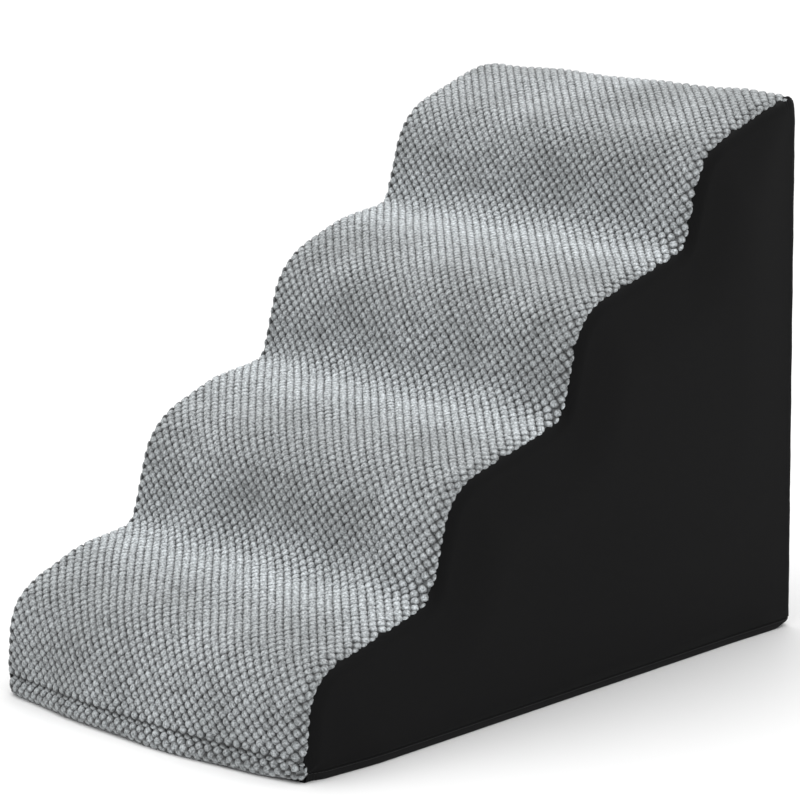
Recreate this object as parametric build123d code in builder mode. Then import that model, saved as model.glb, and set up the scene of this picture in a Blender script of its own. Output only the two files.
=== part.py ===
from build123d import *
import os

# Four-tier foam pet ramp in a sewn, zipped cover. Millimetres, +Z up, front foot towards -Y.
# The origin is the middle of the floor under the ramp, zipper pull included.

# ---- driving dimensions ----
width = 400.0
tiers = 4
tier_run = 177.5
tier_rise = 137.0
crown_drop = 8.0            # how much lower the top tier ends than a full rise

nose_setback = 27.0         # each tier's rounded nose: its corner behind the riser's foot
nose_height = 99.0
nose_radius = 69.0
top_nose_height = 91.0
valley_radius = 18.0
crest_length = 38.0         # level strip along the top rear edge
crest_radius = 120.0
corner_radius = 14.0

plush_thickness = 6.0
cloth_thickness = 2.0
liner_thickness = 1.0
sewn_gap = 0.3              # air between neighbouring soft layers
front_hem_height = 18.0
side_hem_height = 10.0
seam_step = 0.3             # gap between a hem and the panel above it

dot_radius = 3.0
dot_height = 0.8
dot_pitch = 45.0
dot_margin = 25.0

zip_height = 58.0           # zipper's centre line above the floor
zip_opening = 13.0          # slot between the two rear panels
tape_length = 372.0
tape_thickness = 0.7
tape_reach = 14.0           # tape's outer edge from the centre line
tape_inner = 1.7            # tape's inner edge from the centre line
coil_thickness = 1.8
coil_reach = 2.9
coil_mesh_gap = 0.05        # each coil's edge from the centre line
stop_length = 4.0
stop_inset = 8.0            # end of the tape to the bottom stop

slider_length = 12.0
slider_plate = 1.2
slider_floor = 1.0
slider_wall = 1.3
slider_end_radius = 2.0
post_length = 3.0           # wedge that parts the two coils
post_half_width = 1.2
post_setback = 1.5          # wedge to the slider's nose
coil_clearance = 0.3
tape_clearance = 0.2

pin_radius = 0.9
pin_clearance = 0.1
knuckle_radius = 1.65
knuckle_lift = 2.0          # pin's axis above the slider's top plate
lug_radius = 1.6
lug_thickness = 1.3
lug_inner = 2.5             # lug's inner face from the centre line
lug_play = 0.2
pull_length = 22.0
pull_thickness = 1.6
pull_half_width = 3.5
pull_shoulder = 3.4         # where the pull widens past the lugs
pull_hole_radius = 1.3
pull_end_radius = 2.5

# ---- derived places ----
half_width = width / 2
height = tiers * tier_rise - crown_drop
cover_length = tiers * tier_run
top_plate_gap = coil_thickness + coil_clearance - cloth_thickness
pull_axis_stand = top_plate_gap + slider_plate + knuckle_lift
stand_off = pull_axis_stand + knuckle_radius
front_y = -(cover_length + stand_off) / 2
rear_y = front_y + cover_length
seam_y = rear_y - corner_radius
below_floor = 40.0

plush_depth = plush_thickness + sewn_gap
cloth_depth = cloth_thickness + sewn_gap
liner_depth = plush_depth + liner_thickness
foam_depth = liner_depth + sewn_gap
base_low = dot_height
base_top = base_low + cloth_thickness
liner_low = base_top + sewn_gap
foam_low = liner_low + liner_thickness + sewn_gap
liner_half = half_width - cloth_depth
foam_half = liner_half - liner_thickness - sewn_gap

tape_top_y = rear_y - cloth_thickness
tape_low_y = tape_top_y - tape_thickness
coil_top_y = tape_top_y + coil_thickness
plate_low_y = rear_y + top_plate_gap
plate_top_y = plate_low_y + slider_plate
floor_top_y = tape_low_y - coil_clearance
floor_low_y = floor_top_y - slider_floor
pull_axis_y = rear_y + pull_axis_stand
channel_half = coil_reach + coil_clearance
slider_half = channel_half + slider_wall

bottom_stop_x = -tape_length / 2 + stop_inset
coil_start_x = bottom_stop_x + stop_length + coil_clearance
top_stop_x = tape_length / 2 - stop_inset - stop_length
slider_nose_x = top_stop_x - coil_clearance
slider_tail_x = slider_nose_x - slider_length
slider_mid_x = (slider_nose_x + slider_tail_x) / 2
post_nose_x = slider_nose_x - post_setback
post_tail_x = post_nose_x - post_length
coil_end_x = post_tail_x - coil_clearance
slider_travel = slider_tail_x - coil_start_x
print("slider travel", round(slider_travel, 3), "mm")
print("pull axis", round(slider_mid_x, 3), round(pull_axis_y, 3), zip_height)

# The side outline: one riser, rounded nose and gently rising tread for each tier.
lean = nose_setback / nose_height
outline_points = [(front_y - lean * below_floor, -below_floor)]
outline_radii = []
for tier in range(tiers):
    foot_y = front_y + tier * tier_run
    foot_z = tier * tier_rise
    if tier > 0:
        outline_points.append((foot_y, foot_z))
        outline_radii.append(valley_radius)
    is_top = tier == tiers - 1
    outline_points.append((foot_y + nose_setback, foot_z + (top_nose_height if is_top else nose_height)))
    outline_radii.append(nose_radius)
outline_points += [(rear_y - crest_length, height), (rear_y, height), (rear_y, -below_floor)]
outline_radii += [crest_radius, corner_radius]


def section(depth, z_low, z_high, y_low=front_y, y_high=rear_y):
    """The side outline drawn in by depth, kept between two heights and two planes across the ramp."""
    with BuildSketch() as outline:
        with BuildLine() as edge:
            FilletPolyline(*outline_points, radius=outline_radii)
            Line(edge.line @ 1, edge.line @ 0)
        make_face()
        if depth > 0:
            offset(amount=-depth, kind=Kind.INTERSECTION)
        with Locations(((y_low + y_high) / 2, (z_low + z_high) / 2)):
            Rectangle(y_high - y_low, z_high - z_low, mode=Mode.INTERSECT)
    return outline.sketch_local


def lining(z_low, z_high):
    """What lies inside the plush at the front and top, and inside the thinner cloth at the rear."""
    with BuildSketch() as inside:
        add(section(plush_depth, z_low, z_high, y_high=seam_y))
        add(section(cloth_depth, z_low, z_high, y_low=seam_y))
    return inside.sketch_local


def write(piece, name):
    piece.part.label = name
    export_step(piece.part, "parts/" + name + ".step")


os.makedirs("parts", exist_ok=True)

# ---- foam core: one block for each tier, glued on top of the one below ----
for tier in range(tiers):
    low = foam_low if tier == 0 else tier * tier_rise
    high = height if tier == tiers - 1 else (tier + 1) * tier_rise
    with BuildPart() as foam_tier:
        with BuildSketch(Plane.YZ):
            add(section(foam_depth, low, high))
        extrude(amount=foam_half, both=True)
    write(foam_tier, "foam_tier_" + str(tier + 1))

# ---- inner liner: a thin bag of one wrap and two side pieces, sewn shut around the foam ----
with BuildPart() as liner_wrap:
    with BuildSketch(Plane.YZ):
        add(section(plush_depth, liner_low, height))
        add(section(liner_depth, liner_low + liner_thickness, height), mode=Mode.SUBTRACT)
    extrude(amount=liner_half, both=True)
write(liner_wrap, "inner_liner_wrap")

with BuildPart() as liner_right:
    with BuildSketch(Plane.YZ.offset(liner_half - liner_thickness)):
        add(section(foam_depth, foam_low, height))
    extrude(amount=liner_thickness)
write(liner_right, "inner_liner_right")

with BuildPart() as liner_left:
    add(liner_right.part)
    mirror(about=Plane.YZ, mode=Mode.REPLACE)
write(liner_left, "inner_liner_left")

# ---- outer cover: plush over the tiers, with smooth cloth at the sides and rear ----
with BuildPart() as tread_panel:
    with BuildSketch(Plane.YZ):
        add(section(0, front_hem_height, height, y_high=seam_y - sewn_gap))
        add(section(plush_thickness, 0, height), mode=Mode.SUBTRACT)
    extrude(amount=half_width, both=True)
write(tread_panel, "tread_panel")

with BuildPart() as front_hem:
    with BuildSketch(Plane.YZ):
        add(section(0, 0, front_hem_height - seam_step, y_high=front_y + tier_run))
        add(section(plush_thickness, 0, height), mode=Mode.SUBTRACT)
    extrude(amount=half_width, both=True)
write(front_hem, "front_hem")

with BuildPart() as right_side_panel:
    with BuildSketch(Plane.YZ.offset(half_width - cloth_thickness)):
        add(lining(side_hem_height, height))
    extrude(amount=cloth_thickness)
write(right_side_panel, "right_side_panel")

with BuildPart() as left_side_panel:
    add(right_side_panel.part)
    mirror(about=Plane.YZ, mode=Mode.REPLACE)
write(left_side_panel, "left_side_panel")

with BuildPart() as right_hem:
    with BuildSketch(Plane.YZ.offset(half_width - cloth_thickness)):
        add(lining(0, side_hem_height - seam_step))
    extrude(amount=cloth_thickness)
write(right_hem, "right_hem")

with BuildPart() as left_hem:
    add(right_hem.part)
    mirror(about=Plane.YZ, mode=Mode.REPLACE)
write(left_hem, "left_hem")

with BuildPart() as rear_upper_panel:
    with BuildSketch(Plane.YZ):
        add(section(0, zip_height + zip_opening / 2, height, y_low=seam_y))
        add(section(cloth_thickness, 0, height), mode=Mode.SUBTRACT)
    extrude(amount=half_width, both=True)
write(rear_upper_panel, "rear_upper_panel")

with BuildPart() as rear_lower_panel:
    with BuildSketch(Plane.YZ):
        add(section(0, side_hem_height, zip_height - zip_opening / 2, y_low=seam_y))
        add(section(cloth_thickness, 0, height), mode=Mode.SUBTRACT)
    extrude(amount=half_width, both=True)
write(rear_lower_panel, "rear_lower_panel")

with BuildPart() as rear_hem:
    with BuildSketch(Plane.YZ):
        add(section(0, 0, side_hem_height - seam_step, y_low=seam_y))
        add(section(cloth_thickness, 0, height), mode=Mode.SUBTRACT)
    extrude(amount=half_width, both=True)
write(rear_hem, "rear_hem")

# ---- base: a cloth panel with rows of rubber dots that grip the floor ----
with BuildPart() as base_panel:
    with BuildSketch(Plane.YZ):
        add(lining(base_low, base_top))
    extrude(amount=liner_half, both=True)
write(base_panel, "base_panel")

dot_columns = 2 * int((half_width - dot_margin) / dot_pitch) + 1
dot_rows = 2 * int((cover_length / 2 - dot_margin) / dot_pitch) + 1
with BuildPart() as grip_dots:
    with BuildSketch(Plane.XY):
        with GridLocations(dot_pitch, dot_pitch, dot_columns, dot_rows):
            Circle(dot_radius)
    extrude(amount=dot_height)
write(grip_dots, "grip_dots")

# ---- rear zipper: two tapes behind the slot, a coil along each, and stops at the ends ----
with BuildPart() as zipper_tape_upper:
    with BuildSketch(Plane.XY.offset(zip_height + tape_inner)):
        with Locations((0, (tape_low_y + tape_top_y) / 2)):
            Rectangle(tape_length, tape_thickness)
    extrude(amount=tape_reach - tape_inner)
write(zipper_tape_upper, "zipper_tape_upper")

with BuildPart() as zipper_tape_lower:
    add(zipper_tape_upper.part)
    mirror(about=Plane.XY.offset(zip_height), mode=Mode.REPLACE)
write(zipper_tape_lower, "zipper_tape_lower")

with BuildPart() as zipper_coil_upper:
    with BuildSketch(Plane.XY.offset(zip_height + coil_mesh_gap)):
        with Locations(((coil_start_x + coil_end_x) / 2, (tape_top_y + coil_top_y) / 2)):
            Rectangle(coil_end_x - coil_start_x, coil_thickness)
    extrude(amount=coil_reach - coil_mesh_gap)
write(zipper_coil_upper, "zipper_coil_upper")

with BuildPart() as zipper_coil_lower:
    add(zipper_coil_upper.part)
    mirror(about=Plane.XY.offset(zip_height), mode=Mode.REPLACE)
write(zipper_coil_lower, "zipper_coil_lower")

with BuildPart() as zipper_bottom_stop:
    with BuildSketch(Plane.XY.offset(zip_height - coil_reach)):
        with Locations((bottom_stop_x + stop_length / 2, (tape_top_y + coil_top_y) / 2)):
            Rectangle(stop_length, coil_thickness)
    extrude(amount=2 * coil_reach)
write(zipper_bottom_stop, "zipper_bottom_stop")

with BuildPart() as zipper_top_stops:
    with BuildSketch(Plane.XY.offset(zip_height + post_half_width)):
        with Locations((top_stop_x + stop_length / 2, (tape_top_y + coil_top_y) / 2)):
            Rectangle(stop_length, coil_thickness)
    extrude(amount=coil_reach - post_half_width)
    mirror(about=Plane.XY.offset(zip_height))
write(zipper_top_stops, "zipper_top_stops")

# ---- slider: two plates joined by the wedge, walls around the coils, and the pull's pin ----
slider_centre = (slider_mid_x, zip_height)
with BuildPart() as zipper_slider:
    with BuildSketch(Plane.XZ.offset(-plate_low_y)) as top_plate:
        with Locations(slider_centre):
            RectangleRounded(slider_length, 2 * slider_half, slider_end_radius)
    extrude(amount=-slider_plate)
    with BuildSketch(Plane.XZ.offset(-floor_low_y)) as floor_plate:
        with Locations(slider_centre):
            RectangleRounded(slider_length, 2 * slider_half, slider_end_radius)
    extrude(amount=-slider_floor)
    with BuildSketch(Plane.XZ.offset(-(tape_top_y + tape_clearance))) as walls:
        with Locations(slider_centre):
            RectangleRounded(slider_length, 2 * slider_half, slider_end_radius)
            Rectangle(slider_length, 2 * channel_half, mode=Mode.SUBTRACT)
    extrude(amount=-(plate_low_y - tape_top_y - tape_clearance))
    with BuildSketch(Plane.XZ.offset(-floor_top_y)) as post:
        with Locations(((post_nose_x + post_tail_x) / 2, zip_height)):
            RectangleRounded(post_length, 2 * post_half_width, post_half_width / 2)
    extrude(amount=-(plate_low_y - floor_top_y))
    with BuildSketch(Plane.XY.offset(zip_height - lug_inner - lug_thickness)) as lug:
        with Locations((slider_mid_x, pull_axis_y)):
            Circle(lug_radius)
        with Locations((slider_mid_x, (plate_top_y + pull_axis_y) / 2)):
            Rectangle(2 * lug_radius, pull_axis_y - plate_top_y)
    extrude(amount=lug_thickness)
    mirror(about=Plane.XY.offset(zip_height))
    with BuildSketch(Plane.XY.offset(zip_height - lug_inner)) as pin:
        with Locations((slider_mid_x, pull_axis_y)):
            Circle(pin_radius)
    extrude(amount=2 * lug_inner)
write(zipper_slider, "zipper_slider")

# ---- pull: a knuckle that turns on the pin and a flat tab with a hole at its end ----
knuckle_half = lug_inner - lug_play
with BuildPart() as zipper_pull:
    with BuildSketch(Plane.XZ.offset(-(pull_axis_y - pull_thickness / 2))) as tab:
        with Locations((slider_mid_x + pull_length / 2, zip_height)):
            Rectangle(pull_length, 2 * knuckle_half)
        with Locations((slider_mid_x + (pull_shoulder + pull_length) / 2, zip_height)):
            RectangleRounded(pull_length - pull_shoulder, 2 * pull_half_width, pull_end_radius)
        with Locations((slider_mid_x + pull_length - pull_half_width, zip_height)):
            Circle(pull_hole_radius, mode=Mode.SUBTRACT)
    extrude(amount=-pull_thickness)
    with BuildSketch(Plane.XY.offset(zip_height - knuckle_half)) as knuckle:
        with Locations((slider_mid_x, pull_axis_y)):
            Circle(knuckle_radius)
    extrude(amount=2 * knuckle_half)
    with BuildSketch(Plane.XY.offset(zip_height - knuckle_half)) as bore:
        with Locations((slider_mid_x, pull_axis_y)):
            Circle(pin_radius + pin_clearance)
    extrude(amount=2 * knuckle_half, mode=Mode.SUBTRACT)
write(zipper_pull, "zipper_pull")
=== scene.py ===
import math
from functools import partial

import bpy
import numpy as np
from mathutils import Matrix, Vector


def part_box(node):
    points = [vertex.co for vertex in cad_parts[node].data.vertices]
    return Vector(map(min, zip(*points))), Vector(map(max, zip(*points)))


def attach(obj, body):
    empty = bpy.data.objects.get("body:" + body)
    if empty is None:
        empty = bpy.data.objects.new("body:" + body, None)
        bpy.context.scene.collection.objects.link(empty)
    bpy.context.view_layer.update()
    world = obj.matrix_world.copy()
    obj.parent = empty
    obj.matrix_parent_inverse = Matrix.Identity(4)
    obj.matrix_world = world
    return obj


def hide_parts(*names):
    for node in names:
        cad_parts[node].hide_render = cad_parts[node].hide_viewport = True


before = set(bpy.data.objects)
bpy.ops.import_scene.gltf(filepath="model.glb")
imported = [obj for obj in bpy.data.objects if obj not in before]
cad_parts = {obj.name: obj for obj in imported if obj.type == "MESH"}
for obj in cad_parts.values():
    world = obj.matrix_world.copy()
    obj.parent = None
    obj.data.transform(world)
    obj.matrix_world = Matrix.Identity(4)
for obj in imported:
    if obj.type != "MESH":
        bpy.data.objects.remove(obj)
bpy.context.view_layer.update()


# ---- Foam core ----
# Four blocks of cream upholstery foam, one for each tier, glued on top of one another.
# The cover squeezes them, so each block is drawn in from the plain solid and settled with it.

front_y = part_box("front_hem")[0].y
rear_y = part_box("rear_upper_panel")[1].y
half_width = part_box("front_hem")[1].x
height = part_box("rear_upper_panel")[1].z

foot_bow = 0.018            # the foot's corners stand this far behind its middle
foot_push = 0.004           # and the middle swells forward
foot_bow_height = 0.088     # and the bow has gone at this height
foot_bow_reach = 0.25
core_squeeze = 0.90         # width left once the cover is pulled over
tiers = 4


def smooth(amount):
    """0 to 1 with a soft start and end."""
    amount = np.clip(amount, 0.0, 1.0)
    return amount * amount * (3 - 2 * amount)


def settled(points):
    """Points of the cover or its core where the soft foot bows out between its corners."""
    across = np.clip(np.abs(points[..., 0]) / half_width, 0, 1)
    low = np.clip(1 - points[..., 2] / foot_bow_height, 0, 1)
    near = smooth(1 - (points[..., 1] - front_y) / foot_bow_reach)
    moved = points.copy()
    moved[..., 1] += (foot_bow * across ** 2.2 - foot_push * (1 - across ** 2)) * low * near
    return moved


def shader_node(tree, kind, inputs=(), **settings):
    """A node with its settings, and its inputs linked from sockets or set to values."""
    made = tree.nodes.new(kind)
    for name, value in settings.items():
        setattr(made, name, value)
    for name, value in dict(inputs).items():
        if isinstance(value, bpy.types.NodeSocket):
            tree.links.new(value, made.inputs[name])
        else:
            made.inputs[name].default_value = value
    return made


def socket_of(tree, kind, inputs=(), **settings):
    """The first output of a new node."""
    return shader_node(tree, kind, inputs, **settings).outputs[0]


def math_of(tree, operation, *values, clamp=False):
    """The result of a sum on numbers or sockets."""
    return socket_of(tree, "ShaderNodeMath", dict(enumerate(values)), operation=operation, use_clamp=clamp)


def put(name, data):
    """A new object in the scene."""
    made = bpy.data.objects.new(name, data)
    bpy.context.scene.collection.objects.link(made)
    return made


def new_finish(name, **constants):
    """A material's tree and its Principled shader, with the values that are the same all over."""
    material = bpy.data.materials.new(name)
    material.use_nodes = True
    tree = material.node_tree
    shader = tree.nodes["Principled BSDF"]
    for socket, value in constants.items():
        shader.inputs[socket.replace("_", " ")].default_value = value
    return material, tree, shader


def fibre_group():
    """Fibres, blotches and a mottled bump height that every cloth and foam here shares."""
    tree = bpy.data.node_groups.new("fibre", "ShaderNodeTree")
    for name, value in (("Fibre Scale", 900.0), ("Blotch Scale", 18.0), ("Contrast", 1.0)):
        tree.interface.new_socket(name, in_out="INPUT", socket_type="NodeSocketFloat").default_value = value
    for name in ("Fibre", "Blotch", "Height"):
        tree.interface.new_socket(name, in_out="OUTPUT", socket_type="NodeSocketFloat")
    given = tree.nodes.new("NodeGroupInput")
    place = tree.nodes.new("ShaderNodeTexCoord").outputs["Object"]
    fine = shader_node(tree, "ShaderNodeTexNoise", {
        "Vector": place, "Scale": given.outputs["Fibre Scale"], "Detail": 3.0, "Roughness": 0.62})
    broad = shader_node(tree, "ShaderNodeTexNoise", {
        "Vector": place, "Scale": given.outputs["Blotch Scale"], "Detail": 3.0, "Roughness": 0.5})
    centred = math_of(tree, "SUBTRACT", fine.outputs["Fac"], 0.5)
    spread = math_of(tree, "MULTIPLY", centred, given.outputs["Contrast"])
    result = tree.nodes.new("NodeGroupOutput")
    tree.links.new(math_of(tree, "ADD", spread, 0.5, clamp=True), result.inputs["Fibre"])
    tree.links.new(broad.outputs["Fac"], result.inputs["Blotch"])
    tree.links.new(fine.outputs["Fac"], result.inputs["Height"])
    return tree


fibre = fibre_group()


def use_group(tree, group, **values):
    """A shared effect placed in a material with its own values."""
    made = tree.nodes.new("ShaderNodeGroup")
    made.node_tree = group
    for name, value in values.items():
        made.inputs[name.replace("_", " ")].default_value = value
    return made


def colour_mix(tree, factor, first, second, blend="MIX"):
    """The colour that lies between two others, by a factor."""
    made = shader_node(tree, "ShaderNodeMix", {"Factor": factor}, data_type="RGBA", blend_type=blend)
    for socket, value in ((made.inputs[6], first), (made.inputs[7], second)):
        if isinstance(value, bpy.types.NodeSocket):
            tree.links.new(value, socket)
        else:
            socket.default_value = (*value, 1.0)
    return made.outputs[2]


def bump(tree, shader, height, distance, strength):
    """A bump of a height field on a shader."""
    made = shader_node(tree, "ShaderNodeBump", {"Height": height, "Distance": distance, "Strength": strength})
    tree.links.new(made.outputs["Normal"], shader.inputs["Normal"])


def foam_finish():
    """Cream foam: open cells under a slightly yellowed mottle."""
    material, tree, shader = new_finish("cream_foam", Roughness=0.9)
    cells = shader_node(tree, "ShaderNodeTexVoronoi",
                        {"Vector": tree.nodes.new("ShaderNodeTexCoord").outputs["Object"], "Scale": 700.0})
    specks = use_group(tree, fibre, Fibre_Scale=400.0, Blotch_Scale=9.0, Contrast=1.4)
    base = colour_mix(tree, specks.outputs["Blotch"], (0.70, 0.64, 0.50), (0.78, 0.74, 0.62))
    pores = colour_mix(tree, specks.outputs["Fibre"], base, (0.60, 0.54, 0.40))
    tree.links.new(pores, shader.inputs["Base Color"])
    bump(tree, shader, cells.outputs["Distance"], 0.0004, 0.6)
    return material


def settled_copy(node, name, squeeze):
    """A CAD solid's own mesh, merged, drawn in about the middle and settled like the cover."""
    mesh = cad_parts[node].data.copy()
    mesh.materials.clear()
    piece = put(name, mesh)
    weld = piece.modifiers.new("weld", "WELD")
    weld.merge_threshold = 1e-6
    merged = bpy.data.meshes.new_from_object(piece.evaluated_get(bpy.context.evaluated_depsgraph_get()))
    piece.modifiers.clear()
    piece.data = merged
    points = np.array([v.co for v in merged.vertices])
    points[:, 0] *= squeeze
    points = settled(points)
    merged.vertices.foreach_set("co", points.ravel())
    merged.update()
    return piece


def fit_in(piece, material, body="covered_foam", replaces=()):
    """Gives a finished piece its material and body, and hides the CAD nodes it stands for."""
    piece.data.materials.clear()
    piece.data.materials.append(material)
    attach(piece, body)
    if replaces:
        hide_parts(*replaces)


foam = foam_finish()
for tier in range(1, tiers + 1):
    block = settled_copy(f"foam_tier_{tier}", f"foam_block_{tier}", core_squeeze)
    fit_in(block, foam, replaces=[f"foam_tier_{tier}"])


# ---- Inner liner ----
# A thin white non-woven bag around the foam, a wrap and two sides sewn shut.
# It lets the outer cover slide on and off.

def plain_finish(name, colours, driver, scales, relief, **constants):
    """A finish that runs between two colours by its fibres or blotches, with a fine relief."""
    material, tree, shader = new_finish(name, **constants)
    texture = use_group(tree, fibre, Fibre_Scale=scales[0], Blotch_Scale=scales[1], Contrast=scales[2])
    tree.links.new(colour_mix(tree, texture.outputs[driver], *colours), shader.inputs["Base Color"])
    bump(tree, shader, texture.outputs["Height"], *relief)
    return material


liner = plain_finish("liner_web", ((0.62, 0.62, 0.61), (0.80, 0.80, 0.79)), "Fibre", (600.0, 60.0, 1.5),
                     (0.0002, 0.5), Roughness=0.8)
for node in ("inner_liner_wrap", "inner_liner_left", "inner_liner_right"):
    side_of_bag = settled_copy(node, node.replace("inner_liner", "liner"), core_squeeze)
    fit_in(side_of_bag, liner, replaces=[node])


# ---- Tread panel ----
# One length of grey nubby plush, sewn in at both sides, from the front hem over every tier.
# A knitted backing carries the pile, which stands in rounded nubs on a diagonal lattice.

tier_run = (rear_y - front_y) / tiers
tier_rise = 0.137
nose_setback = 0.027
nose_height = 0.099
top_nose_height = 0.091
nose_radius = 0.069
valley_radius = 0.018
slack_valley_radius = 0.048     # mid-width, where the plush bridges the valley
crest_length = 0.038
crest_radius = 0.120
corner_radius = 0.014
foot_radius = 0.007
foot_tuck = 0.018               # how far the outline runs in under the ramp
outline_step = 0.0045
arc_steps = 14

edge_radius = {1: 0.015, -1: 0.009}     # foam squeezed round along the tread's right and left seams
rear_edge_radius = 0.008                # the rear seams are sharper
rear_blend = 0.05                       # how gently one edge runs into the other
seam_turn = math.radians(40)            # how far round that edge the side seams lie
seam_pull = {1: (0.006, 0.006), -1: (-0.001, 0.004)}    # drawn in from the fullest width, at floor and top
rear_seam_pull = (-0.002, 0.0068)
foot_draw = 0.006                       # more at the left front corner, near the floor
foot_draw_height = 0.035
arch = 0.0065                           # the treads swell between valley and nose, most on the left
arch_back = 0.070                       # the swell's place, back from the valley
tread_highlight_back = 0.030                    # where the pile's tips on each tread are painted lighter, a painted highlight
tread_spread = 0.042                    # how widely both fade out
edge_squeeze = {1: 0.003, -1: -0.001}   # how far the foam gives along the tread's seams
squeeze_reach = 0.055
seam_allowance = 0.005
ripple_height = 0.0008
pile_height = 0.003
pile_sink = 0.0026              # smooth cloth meets the plush under the nubs' tips
groove_depth = 0.0026
groove_width = 0.0026


def rounded_path(corners, radii):
    """Points along a line through the corners (y, z), each corner turned on its radius."""
    corners = np.array(corners)
    points = [corners[0]]
    for before, corner, after, radius in zip(corners, corners[1:], corners[2:], radii):
        come = (corner - before) / np.linalg.norm(corner - before)
        leave = (after - corner) / np.linalg.norm(after - corner)
        turn = math.atan2(come[0] * leave[1] - come[1] * leave[0], come @ leave)
        start = corner - come * radius * math.tan(abs(turn) / 2)
        runs = max(2, round(np.linalg.norm(corner - before) / outline_step))
        points += [points[-1] + (start - points[-1]) * i / runs for i in range(1, runs + 1)]
        centre = start + np.array((-come[1], come[0])) * math.copysign(radius, turn)
        for i in range(1, arc_steps + 1):
            part = turn * i / arc_steps
            spoke = start - centre
            points.append(centre + np.array((spoke[0] * math.cos(part) - spoke[1] * math.sin(part),
                                             spoke[0] * math.sin(part) + spoke[1] * math.cos(part))))
    runs = max(2, round(np.linalg.norm(corners[-1] - points[-1]) / outline_step))
    points += [points[-1] + (corners[-1] - points[-1]) * i / runs for i in range(1, runs + 1)]
    return np.array(points)


def ramp_outline(valley):
    """The ramp's side outline, from under the front foot over the tiers and down the rear."""
    corners, radii = [(front_y + foot_tuck, 0), (front_y, 0)], [foot_radius]
    for tier in range(tiers):
        foot = (front_y + tier * tier_run, tier * tier_rise)
        if tier:
            corners.append(foot)
            radii.append(valley)
        rise = top_nose_height if tier == tiers - 1 else nose_height
        corners.append((foot[0] + nose_setback, foot[1] + rise))
        radii.append(nose_radius)
    corners += [(rear_y - crest_length, height), (rear_y, height), (rear_y, 0), (rear_y - foot_tuck, 0)]
    radii += [crest_radius, corner_radius, foot_radius]
    return rounded_path(corners, radii)


outline = ramp_outline(valley_radius)
slack_outline = ramp_outline(slack_valley_radius)
steps = np.linalg.norm(np.diff(outline, axis=0), axis=1)
along = np.concatenate([[0], np.cumsum(steps)])


def outward(path):
    """Unit normals of a path, away from the foam."""
    tangent = np.gradient(path, axis=0)
    normal = np.stack([-tangent[:, 1], tangent[:, 0]], axis=1)
    return normal / np.linalg.norm(normal, axis=1)[:, None]


hem_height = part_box("front_hem")[1].z
plush_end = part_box("tread_panel")[1].y
hem_line = along[np.argmax((outline[:, 1] > hem_height) & (along > foot_tuck))]
crest_line = along[np.argmax((outline[:, 0] > plush_end) & (outline[:, 1] > height / 2))]
slack_along = np.concatenate([[0], np.cumsum(np.linalg.norm(np.diff(slack_outline, axis=0), axis=1))])
shared = np.linalg.norm(outline - slack_outline, axis=1) < 1e-6
valleys = [along[np.argmax(outline[:, 0] > front_y + tier * tier_run)] for tier in range(1, tiers)]
swell = sum(arch * np.exp(-((along - valley + arch_back) / tread_spread) ** 2) for valley in valleys)
outlines = {1: outline, -1: outline + outward(outline) * swell[:, None]}


def distance_to_line(points, line):
    """Each point's distance to a line of (y, z) points."""
    best = np.full(len(points), 1e9)
    for a, b in zip(line[:-1], line[1:]):
        run = b - a
        share = np.clip(((points - a) @ run) / max(run @ run, 1e-12), 0, 1)
        best = np.minimum(best, np.linalg.norm(points - a - share[:, None] * run, axis=1))
    return best


def edge_shape(places, side):
    """The edge's radius, how far its seam is drawn in, and how much of the pile's depth it lies under,
    for (y, z) places on or inside the outline."""
    to_wave = distance_to_line(places, outlines[side][along < crest_line])
    to_rear = distance_to_line(places, outlines[side][along > crest_line])
    rear = smooth((to_wave - to_rear) / rear_blend + 0.5)
    up = np.clip(places[:, 1] / height, 0, 1)
    rear_pull, wave_pull = (low + (high - low) * up for low, high in (rear_seam_pull, seam_pull[side]))
    if side < 0:
        wave_pull = wave_pull + foot_draw * (1 - smooth(places[:, 1] / foot_draw_height)) ** 2
    return (edge_radius[side] * (1 - rear) + rear_edge_radius * rear,
            wave_pull * (1 - rear) + rear_pull * rear, 1 - rear, to_wave, to_rear)


flat_half = {side: half_width - seam_pull[side][0] - edge_radius[side] for side in (1, -1)}
cloth_half = {side: flat_half[side] + edge_radius[side] * seam_turn for side in (1, -1)}
cloth_width = cloth_half[1] + cloth_half[-1]


def read_along(places, stations, values):
    """Rows of values along a path, read between its stations."""
    return np.stack([np.interp(places, stations, column) for column in values.T], axis=1)


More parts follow.
